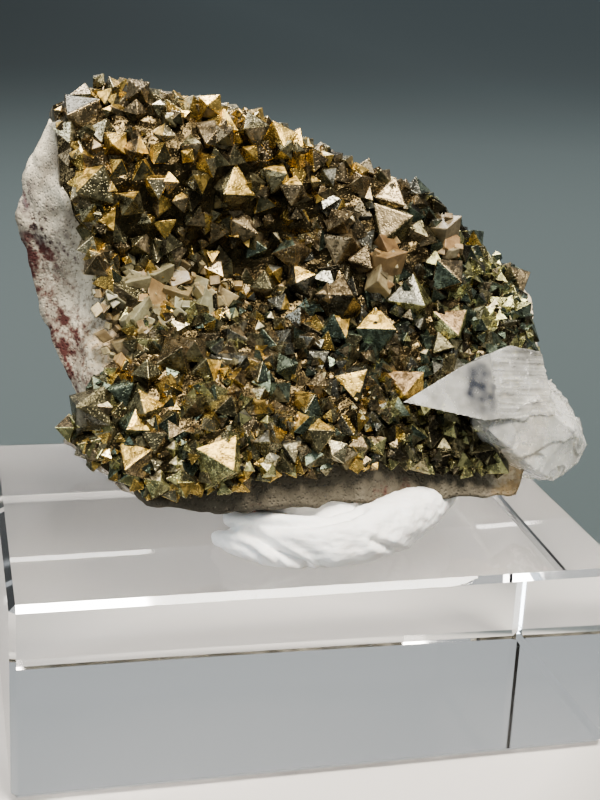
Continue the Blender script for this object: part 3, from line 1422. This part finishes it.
@dataclass
class Matrix3D:
    """The pale carbonate rock that carries the crystals."""

    cells: tuple[int, int, int] = (96, 80, 24)
    middle: tuple[float, float] = (1.0, 19.0)
    depth_low: float = 5.5
    depth_high: float = 8.5
    depth_range: tuple[float, float] = (-2.0, 12.0)
    back_shrink: float = 0.8
    widest_share: float = 0.5
    crust: float = 1.2
    rough_size: float = 5.0
    rough_push: float = 0.6
    rough_layer: float = 14.0

    def depth(self, x: float, y: float) -> float:
        """Return how far the rock's back lies behind the specimen's plane."""
        low, high = self.depth_range
        share = max(0.0, min(1.0, (y - low) / (high - low)))
        plain = self.depth_low + (self.depth_high - self.depth_low) * share
        return plain + sum(swell.at(x, y) for swell in BACK_RELIEF)

    def broken(self, point: Vector) -> Vector:
        """Return the push of the rock's broken surface, for a point in millimetres."""
        coarse = noise.noise_vector(point / self.rough_size) * self.rough_push
        middle = noise.noise_vector(point / 1.9 + Vector((7.0, 3.0, 1.0))) * 0.36
        fine = noise.noise_vector(point / 1.1 + Vector((2.0, 9.0, 4.0))) * 0.16
        return coarse + middle + fine

    def ledge(self, point: Vector) -> float:
        """Return how far the rock's back is broken away in ledges at a point."""
        bent = point + noise.noise_vector(point / 7.0) * 5.0
        along = 0.0
        for way, length, rise in (((0.75, 0.6, 0.2), 5.6, 0.8), ((-0.6, 0.75, 0.3), 9.0, 0.45)):
            steps = bent.dot(Vector(way)) / length
            along += rise * (steps - math.floor(steps))
        return along

    def place(self, s: float, t: float, share: float) -> Vector:
        """Return a point of the rock's skin for its shares across, up and out."""
        middle = Vector(self.middle)
        front = patch_point(ROCK_FRONT, s, t)
        widest = patch_point(ROCK_WIDEST, s, t)
        back = middle + (widest - middle) * self.back_shrink
        if share > self.widest_share:
            flat = widest.lerp(front, (share - self.widest_share) / (1.0 - self.widest_share))
        else:
            flat = back.lerp(widest, math.sqrt(share / self.widest_share))
        face_depth = face_height(front.x, front.y) - self.crust
        back_depth = -self.depth(flat.x, flat.y)
        depth = back_depth + (face_depth - back_depth) * share
        spot = Vector((flat.x, flat.y, self.rough_layer * share))
        depth += self.ledge(spot) * max(0.0, 1.0 - 2.5 * share)
        return HOME @ ((Vector((flat.x, flat.y, depth)) + self.broken(spot)) * MM)

    def stain(self, shape: bmesh.types.BMesh) -> None:
        """Write the stains' amounts to the bmesh's points."""
        for kind in ("hematite", "violet", "ochre", "strip", "rim"):
            layer = shape.verts.layers.float.new(kind)
            spots = [stain for stain in STAINS if stain.kind == kind]
            streaky = kind in ("hematite", "violet")
            for vert in shape.verts:
                point = AWAY @ vert.co / MM
                ragged = point + noise.noise_vector(point / 1.6) * 1.3
                amount = 0.0
                for stain in spots:
                    away = (ragged - Vector((stain.x, stain.y, stain.z))).length / stain.reach
                    amount = max(amount, stain.amount * math.exp(-(away**2)))
                if streaky:
                    run = Vector((
                        (point.x + 0.25 * point.y) * 1.5, point.y * 0.38, (point.z + 0.3 * point.y) * 1.1
                    ))
                    amount *= 0.55 + 1.3 * max(0.0, noise.noise(run) + 0.25)
                vert[layer] = min(amount, 1.0)

    def make(self) -> bpy.types.Object:
        """Make the rock and return it."""
        shape = grid_slab(self.cells, self.place)
        self.stain(shape)
        for face in shape.faces:
            face.smooth = True
        return finish_piece("rock", shape, StainedRock().make(), "matrix")


# Calcite


@dataclass
class CalcitePiece:
    """The white cleavage piece: a pointed wedge and a foot grown together."""

    wedge: tuple[tuple[float, float, float], ...] = (
        (7.6, 8.3, 3.9), (14.4, 11.5, 4.2), (20.6, 13.4, 3.4), (24.6, 12.6, 2.8),
        (24.9, 6.0, 3.8), (16.0, 5.8, 4.6), (12.6, 9.4, 1.0), (20.4, 13.6, -5.0),
        (26.4, 12.6, -6.0), (27.2, 6.0, -6.0), (19.4, 7.0, -4.0),
    )
    foot: tuple[tuple[float, float, float], ...] = (
        (15.6, 6.2, 3.2), (18.6, 3.2, 3.6), (22.2, 0.6, 2.4), (25.2, -0.4, 0.6),
        (28.4, 1.2, 0.4), (30.0, 3.0, 0.0), (30.0, 5.2, -0.6), (29.2, 8.4, -1.0),
        (26.8, 10.4, 0.2), (22.0, 7.6, 4.6), (26.6, 4.2, 3.4), (18.0, 4.0, -4.0),
        (25.0, 0.6, -6.0), (28.6, 3.0, -6.5), (28.0, 8.0, -7.0), (18.0, 9.0, -6.0),
    )
    voxel: float = 0.15
    foot_top: float = 6.0
    striated_from: float = 18.0
    sugary_from: float = 24.4

    def hull(self, shape: bmesh.types.BMesh, corners: tuple[tuple[float, float, float], ...]) -> None:
        """Add the hull of some corners to a bmesh."""
        verts = [shape.verts.new(HOME @ (Vector(corner) * MM)) for corner in corners]
        bmesh.ops.convex_hull(shape, input=verts)

    def step(self, point: Vector) -> float:
        """Return the push in millimetres of the cleavage steps at a point."""
        if self.in_foot(point):
            steep = self.saw(point, (0.8, 0.3, 0.5), 6.2)
            flat = self.saw(point, (-0.3, 0.85, 0.3), 4.1)
            return 0.1 - 0.2 * steep - 0.16 * flat
        if point.x > self.sugary_from:
            steep = self.saw(point, (0.7, 0.6, 0.2), 1.5)
            flat = self.saw(point, (-0.4, 0.8, 0.4), 1.1)
            return -0.1 - 0.25 * steep - 0.2 * flat
        if point.x > self.striated_from:
            row = math.floor((point.y + 0.05 * point.x) / 0.42)
            reach = noise.noise(Vector((point.x * 0.45, row * 7.3, point.z * 0.3)))
            return 0.05 * (1.0 if reach > 0.05 else 0.0) - 0.04
        return -0.12

    def saw(self, point: Vector, way: tuple[float, float, float], length: float) -> float:
        """Return how far a point lies along its cleavage step, from 0 to 1.

        Args:
            point: The point in millimetres.
            way: Direction across the steps.
            length: Length of a step in millimetres.

        Returns:
            The share.
        """
        along = point.dot(Vector(way)) / length + 0.7 * noise.noise(point / 3.2)
        return along - math.floor(along)

    def in_foot(self, point: Vector) -> bool:
        """Return whether a point belongs to the foot."""
        return point.y < self.foot_top - 0.12 * max(0.0, 20.0 - point.x)

    def milkiness(self, point: Vector) -> float:
        """Return how white a point of the calcite is, from 0 to 1."""
        cloud = noise.noise(point / 1.9 + Vector((3.0, 8.0, 1.0)))
        if self.in_foot(point):
            return 0.86 + 0.4 * cloud
        if point.x > self.sugary_from:
            return 1.0 + 0.15 * cloud
        if point.x > self.striated_from:
            thread = Vector((point.x * 0.3, (point.y + 0.05 * point.x) * 3.4, point.z * 0.3))
            smoky = 0.05 * max(0.0, point.y - 10.0) * max(0.0, point.x - 19.0)
            return 0.74 + 0.6 * noise.noise(thread) + 0.25 * cloud - smoky
        return 0.6 + 0.4 * cloud + 0.02 * (self.striated_from - point.x)

    def make(self) -> bpy.types.Object:
        """Make the calcite and return it."""
        shape = bmesh.new()
        self.hull(shape, self.wedge)
        self.hull(shape, self.foot)
        shape = remeshed(shape, self.voxel)
        grey = shape.verts.layers.float.new("grey")
        milk = shape.verts.layers.float.new("milk")
        shape.normal_update()
        pushes = []
        for vert in shape.verts:
            point = AWAY @ vert.co / MM
            pushes.append((vert, vert.normal * self.step(point) * MM))
            ragged = point + noise.noise_vector(point / 1.1) * 0.5
            away = math.hypot((ragged.x - 16.4) / 2.3, (ragged.y - 9.2) / 3.4)
            patch = max(0.0, min(1.0, 2.2 * (1.0 - away))) * (0.75 + 0.5 * noise.noise(point / 0.9))
            past = 0.1 if ragged.x > self.striated_from else 1.0
            vert[grey] = 0.0 if self.in_foot(point) else patch * past
            vert[milk] = min(1.0, max(0.0, self.milkiness(point)))
        for vert, push in pushes:
            vert.co += push
        for face in shape.faces:
            face.smooth = self.in_foot(AWAY @ face.calc_center_median() / MM)
        return finish_piece("calcite_cleavage", shape, CloudyCalcite().make(), "calcite_crystal")


def remeshed(shape: bmesh.types.BMesh, voxel: float) -> bmesh.types.BMesh:
    """Unite overlapping closed parts by a voxel remesh.

    Args:
        shape: The parts, which are freed.
        voxel: Size of a voxel in millimetres.

    Returns:
        A bmesh with one skin.
    """
    mesh = bpy.data.meshes.new("united")
    bmesh.ops.recalc_face_normals(shape, faces=shape.faces)
    shape.to_mesh(mesh)
    shape.free()
    item = bpy.data.objects.new("united", mesh)
    bpy.context.scene.collection.objects.link(item)
    step = item.modifiers.new("Unite", "REMESH")
    step.mode = "VOXEL"
    step.voxel_size = voxel * MM
    bpy.context.view_layer.update()
    evaluated = item.evaluated_get(bpy.context.evaluated_depsgraph_get())
    made = bmesh.new()
    made.from_mesh(evaluated.to_mesh())
    evaluated.to_mesh_clear()
    bpy.data.objects.remove(item, do_unlink=True)
    bpy.data.meshes.remove(mesh)
    return made


# Dolomite


@dataclass(frozen=True)
class Rhomb:
    """A dolomite rhombohedron in the specimen's frame, in millimetres and degrees."""

    x: float
    y: float
    z: float
    edge: float
    spin: float


@dataclass(frozen=True)
class RhombGroup:
    """Rhombs that have grown together.

    Attributes:
        node: The CAD node that the group stands for.
        rhombs: The larger rhombs.
        tint: Their middle colour.
        small: Number of small rhombs between them.
        spread: How far the small ones lie from a larger one, in edges.
    """

    node: str
    rhombs: tuple[Rhomb, ...]
    tint: tuple[float, float, float]
    small: int
    spread: float = 0.8


DOLOMITE_GROUPS = (
    RhombGroup(
        "dolomite_pocket",
        (
            Rhomb(-16.6, 21.6, -1.8, 2.6, 10), Rhomb(-16.4, 18.4, -1.2, 2.8, 50),
            Rhomb(-14.0, 20.4, -2.2, 2.6, 80), Rhomb(-13.8, 22.8, -2.4, 2.4, 25),
            Rhomb(-13.6, 18.0, -1.6, 2.3, 120), Rhomb(-11.6, 20.8, -2.6, 2.6, 160),
            Rhomb(-11.2, 23.0, -2.8, 2.2, 200), Rhomb(-9.4, 19.4, -2.2, 2.3, 65),
            Rhomb(-9.2, 21.8, -2.8, 2.2, 250), Rhomb(-17.4, 15.8, -0.6, 2.3, 300),
            Rhomb(-7.4, 20.4, -2.5, 1.9, 330), Rhomb(-17.8, 20.2, -1.4, 2.1, 140),
            Rhomb(-15.2, 16.4, -0.8, 2.0, 215), Rhomb(-12.4, 24.6, -2.8, 1.9, 280),
        ),
        (0.29, 0.25, 0.15),
        230,
        1.05,
    ),
    RhombGroup(
        "dolomite_center",
        (
            Rhomb(8.8, 22.6, 1.5, 2.5, 15), Rhomb(8.2, 20.8, 1.0, 2.2, 70),
            Rhomb(9.4, 24.2, 1.0, 2.0, 110),
        ),
        (0.235, 0.18, 0.1),
        8,
        0.5,
    ),
    RhombGroup(
        "dolomite_ridge",
        (Rhomb(16.4, 26.2, -0.1, 2.4, 35), Rhomb(17.0, 24.6, -0.6, 2.2, 80)),
        (0.38, 0.30, 0.19),
        6,
        0.5,
    ),
)


@dataclass
class Dolomite:
    """All the dolomite groups."""

    shear: float = 0.28
    lean: float = 0.6
    lean_change: float = 0.3
    bevel: float = 0.1
    seed: int = 21

    def add_rhomb(self, shape: bmesh.types.BMesh, rhomb: Rhomb) -> list[bmesh.types.BMFace]:
        """Add a rhomb to a bmesh and return its faces."""
        shear = Matrix.Identity(3)
        shear[0][1] = shear[0][2] = shear[1][2] = self.shear
        spin = math.radians(rhomb.spin)
        lean = self.lean + self.lean_change * math.sin(3.0 * spin)
        turn = Matrix.Rotation(spin, 3, "Z") @ Matrix.Rotation(lean, 3, "X") @ shear
        middle = Vector((rhomb.x, rhomb.y, rhomb.z)) * MM
        place = HOME @ Matrix.Translation(middle) @ turn.to_4x4()
        made = bmesh.ops.create_cube(shape, size=rhomb.edge * MM, matrix=place)
        return list({face for vert in made["verts"] for face in vert.link_faces})

    def make(self) -> None:
        """Make the groups."""
        look = SatinDolomite().make()
        chance = random.Random(self.seed)
        for group in DOLOMITE_GROUPS:
            shape = bmesh.new()
            tones = shape.loops.layers.float_color.new("tone")
            rhombs = list(group.rhombs)
            for _ in range(group.small):
                near = chance.choice(group.rhombs)
                edge = chance.uniform(0.5, 1.2)
                reach = near.edge * group.spread
                rhombs.append(
                    Rhomb(
                        near.x + chance.uniform(-reach, reach), near.y + chance.uniform(-reach, reach),
                        near.z + chance.uniform(0.0, 0.4) * near.edge, edge, chance.uniform(0, 360),
                    )
                )
            for rhomb in rhombs:
                shade = chance.uniform(0.55, 1.35)
                warm = chance.uniform(0.8, 1.15)
                red, green, blue = (part * shade for part in group.tint)
                colour = (red, green * warm, blue * warm**2, 1.0)
                for face in self.add_rhomb(shape, rhomb):
                    for loop in face.loops:
                        loop[tones] = colour
            bmesh.ops.bevel(
                shape, geom=list(shape.edges), offset=self.bevel * MM, offset_type="OFFSET",
                affect="EDGES", segments=2, profile=0.5, material=-1,
            )
            finish_piece(group.node + "_rhombs", shape, look, group.node)


# Tack


@dataclass(frozen=True)
class Roll:
    """A bent roll of tack: points of its middle line and radii, in millimetres."""

    line: tuple[tuple[float, float, float], ...]
    radii: tuple[float, ...]


ROLLS = (
    Roll(
        ((-8.4, -10.6, 23.4), (-5.6, -12.4, 23.3), (-2.6, -14.2, 22.7), (0.6, -15.2, 22.3),
         (3.6, -14.7, 22.5), (7.2, -12.8, 23.0), (11.0, -10.2, 23.4), (14.0, -7.2, 23.6),
         (15.2, -4.6, 23.6)),
        (0.8, 1.3, 2.0, 2.4, 2.6, 2.7, 2.5, 2.1, 1.3),
    ),
    Roll(
        ((-9.3, -9.8, 21.0), (-7.6, -12.0, 21.2), (-5.2, -14.0, 21.4), (-2.2, -15.1, 21.3),
         (0.4, -15.6, 21.2)),
        (0.8, 1.3, 1.6, 1.4, 0.9),
    ),
    Roll(
        ((5.4, -14.2, 21.6), (8.0, -12.9, 21.6), (10.4, -11.4, 21.8)),
        (1.0, 1.5, 1.2),
    ),
    Roll(
        ((-8.0, -8.6, 23.6), (-3.0, -10.4, 24.2), (3.0, -10.6, 24.6), (8.0, -8.6, 24.6)),
        (1.0, 1.5, 1.7, 1.6),
    ),
)


@dataclass(frozen=True)
class Crease:
    """A crease of the tack that the camera sees.

    Attributes:
        line: Points of it in pixels across and down.
        depth: Depth in millimetres.
        width: Half width in millimetres.
    """

    line: tuple[tuple[float, float], ...]
    depth: float
    width: float


CREASES = (
    Crease(((246, 531), (262, 539), (275, 549), (292, 559), (308, 567), (318, 571)), 0.75, 0.4),
    Crease(((374, 541), (390, 548), (406, 550)), 0.5, 0.35),
    Crease(((236, 528), (262, 526), (290, 525), (322, 523), (348, 517), (364, 509)), 0.45, 0.5),
    Crease(((222, 539), (240, 544), (256, 553), (270, 565)), 0.22, 0.3),
    Crease(((236, 536), (254, 542), (268, 552), (284, 566)), 0.2, 0.25),
    Crease(((330, 545), (356, 543), (380, 532), (404, 519)), 0.16, 0.7),
)


@dataclass
class Tack:
    """The lump of white tack between the block and the rock."""

    middle: tuple[float, float, float] = (3.6, -5.6, 22.0)
    radii: tuple[float, float, float] = (11.6, 8.2, 4.0)
    turn: float = 14.0
    floor: float = 20.1
    voxel: float = 0.22

    def balls(self, roll: Roll) -> list[bmesh.types.BMesh]:
        """Return a roll as overlapping balls."""
        steps = 7
        made = []
        for (a, b), (ra, rb) in zip(zip(roll.line, roll.line[1:]), zip(roll.radii, roll.radii[1:])):
            for step in range(steps):
                share = step / steps
                spot = Vector(a).lerp(Vector(b), share) * MM
                ball = bmesh.new()
                bmesh.ops.create_uvsphere(
                    ball, u_segments=16, v_segments=10, radius=(ra + (rb - ra) * share) * MM,
                    matrix=Matrix.Translation(spot),
                )
                made.append(ball)
        return made

    def folds(self, shape: bmesh.types.BMesh) -> list[tuple[KDTree, Crease]]:
        """Return the creases with their points on the tack's skin."""
        skin = BVHTree.FromBMesh(shape)
        found = []
        for crease in CREASES:
            spots = []
            for start, end in zip(crease.line, crease.line[1:]):
                for step in range(8):
                    pixel = Vector(start).lerp(Vector(end), step / 8.0)
                    spot = skin.ray_cast(VIEW.spot(), VIEW.ray(pixel.x, pixel.y))[0]
                    if spot is not None:
                        spots.append(spot)
            tree = KDTree(len(spots))
            for index, spot in enumerate(spots):
                tree.insert(spot, index)
            tree.balance()
            found.append((tree, crease))
        return found

    def make(self) -> bpy.types.Object:
        """Make the tack and return it."""
        shape = bmesh.new()
        place = Matrix.Translation(Vector(self.middle) * MM)
        place = place @ Matrix.Rotation(math.radians(self.turn), 4, "Z")
        place = place @ Matrix.Diagonal((*(part * MM for part in self.radii), 1.0))
        bmesh.ops.create_uvsphere(shape, u_segments=32, v_segments=16, radius=1.0, matrix=place)
        parts = [shape]
        for roll in ROLLS:
            parts.extend(self.balls(roll))
        shape = remeshed(joined(parts), self.voxel)
        bmesh.ops.smooth_vert(shape, verts=shape.verts, factor=0.5, use_axis_x=True, use_axis_y=True, use_axis_z=True)
        shape.normal_update()
        folds = self.folds(shape)
        for vert in shape.verts:
            point = vert.co / MM
            twist = Vector((point.x * 0.35 - point.y * 0.2, point.y + point.x * 0.6, point.z * 1.5))
            push = 0.13 * noise.fractal(twist * 0.9, 0.7, 2.0, 4)
            for tree, crease in folds:
                away = tree.find(vert.co)[2] / MM / crease.width
                push -= crease.depth * math.exp(-(away**2))
                push += 0.3 * crease.depth * math.exp(-((away - 2.0) ** 2))
            vert.co += vert.normal * push * MM
            vert.co.z = max(vert.co.z, self.floor * MM)
        for face in shape.faces:
            face.smooth = True
        return finish_piece("pressed_tack", shape, PulledTack().make(), "mineral_tack")


# Block and studio


@dataclass
class AcrylicBlock:
    """The clear block, whose CAD node stays."""

    node: str = "acrylic_block"

    def make(self) -> None:
        """Give the CAD node its clear finish."""
        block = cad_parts[self.node]
        look = ClearAcrylic().make()
        for slot in block.material_slots:
            slot.material = look


@dataclass(frozen=True)
class SoftBox:
    """A rectangular studio light.

    Attributes:
        name: Its name.
        place: Middle in millimetres.
        aim: Point that it faces, in millimetres.
        width: Width in millimetres.
        height: Height in millimetres.
        power: Power in watts.
        colour: Linear colour.
    """

    name: str
    place: tuple[float, float, float]
    aim: tuple[float, float, float]
    width: float
    height: float
    power: float
    colour: tuple[float, float, float]

    def make(self) -> None:
        """Make the light."""
        data = bpy.data.lights.new(self.name, "AREA")
        data.shape = "RECTANGLE"
        data.size = self.width * MM
        data.size_y = self.height * MM
        data.energy = self.power
        data.color = self.colour
        light = bpy.data.objects.new(self.name, data)
        light.location = Vector(self.place) * MM
        way = Vector(self.aim) - Vector(self.place)
        light.rotation_euler = way.to_track_quat("-Z", "Y").to_euler()
        bpy.context.scene.collection.objects.link(light)


SOFT_BOXES = (
    SoftBox("key", (60.0, -160.0, 400.0), (0.0, -5.0, 40.0), 170.0, 170.0, 4.2, (1.0, 0.94, 0.84)),
    SoftBox("back", (-60.0, 260.0, 330.0), (0.0, 0.0, 40.0), 200.0, 120.0, 2.0, (1.0, 0.96, 0.9)),
    SoftBox("side", (-330.0, -120.0, 160.0), (0.0, -5.0, 30.0), 160.0, 160.0, 0.6, (0.85, 0.93, 1.0)),
)


@dataclass
class Studio:
    """The round floor, the lights and the pale surroundings.

    Attributes:
        floor: Height of the floor in millimetres, just below the block.
        radius: Radius of the floor in millimetres.
        surround: Colour that the surroundings throw on the specimen.
        beyond: Colour that the camera sees past the floor.
        exposure: Exposure of the picture in stops.
    """

    floor: float = -0.3
    radius: float = 3000.0
    surround: tuple[float, float, float] = (0.40, 0.42, 0.43)
    beyond: tuple[float, float, float] = (0.055, 0.075, 0.085)
    exposure: float = 0.0

    def make_floor(self) -> None:
        """Make the floor, which is stage."""
        shape = bmesh.new()
        place = Matrix.Translation((0.0, 0.0, self.floor * MM))
        bmesh.ops.create_circle(
            shape, cap_ends=True, segments=96, radius=self.radius * MM, matrix=place
        )
        mesh = bpy.data.meshes.new("paper_floor")
        shape.to_mesh(mesh)
        shape.free()
        paper = bpy.data.objects.new("paper_floor", mesh)
        bpy.context.scene.collection.objects.link(paper)
        mesh.materials.append(StudioPaper().make())

    def make_surroundings(self) -> None:
        """Make the world: pale for the specimen's reflections, slate for the camera."""
        world = bpy.data.worlds.new("studio")
        world.use_nodes = True
        sheet = NodeSheet(world.node_tree)
        ground = world.node_tree.nodes["Background"]
        seen = sheet.add("ShaderNodeLightPath").outputs["Is Camera Ray"]
        sheet.link(sheet.blend(seen, self.surround, self.beyond), ground.inputs["Color"])
        bpy.context.scene.world = world

    def make(self) -> None:
        """Make the stage, the lights and the surroundings."""
        self.make_floor()
        self.make_surroundings()
        for box in SOFT_BOXES:
            box.make()
        settings = bpy.context.scene.view_settings
        settings.view_transform = "AgX"
        settings.look = "AgX - Medium High Contrast"
        settings.exposure = self.exposure


def main() -> None:
    """Build the camera, the studio and the specimen."""
    logging.basicConfig(level=logging.INFO, format="%(message)s")
    noise.seed_set(NOISE_SEED)
    VIEW.make()
    Studio().make()
    AcrylicBlock().make()
    Tack().make()
    Matrix3D().make()
    CalcitePiece().make()
    Dolomite().make()
    PyriteCrust().make()


if __name__ == "__main__":
    main()
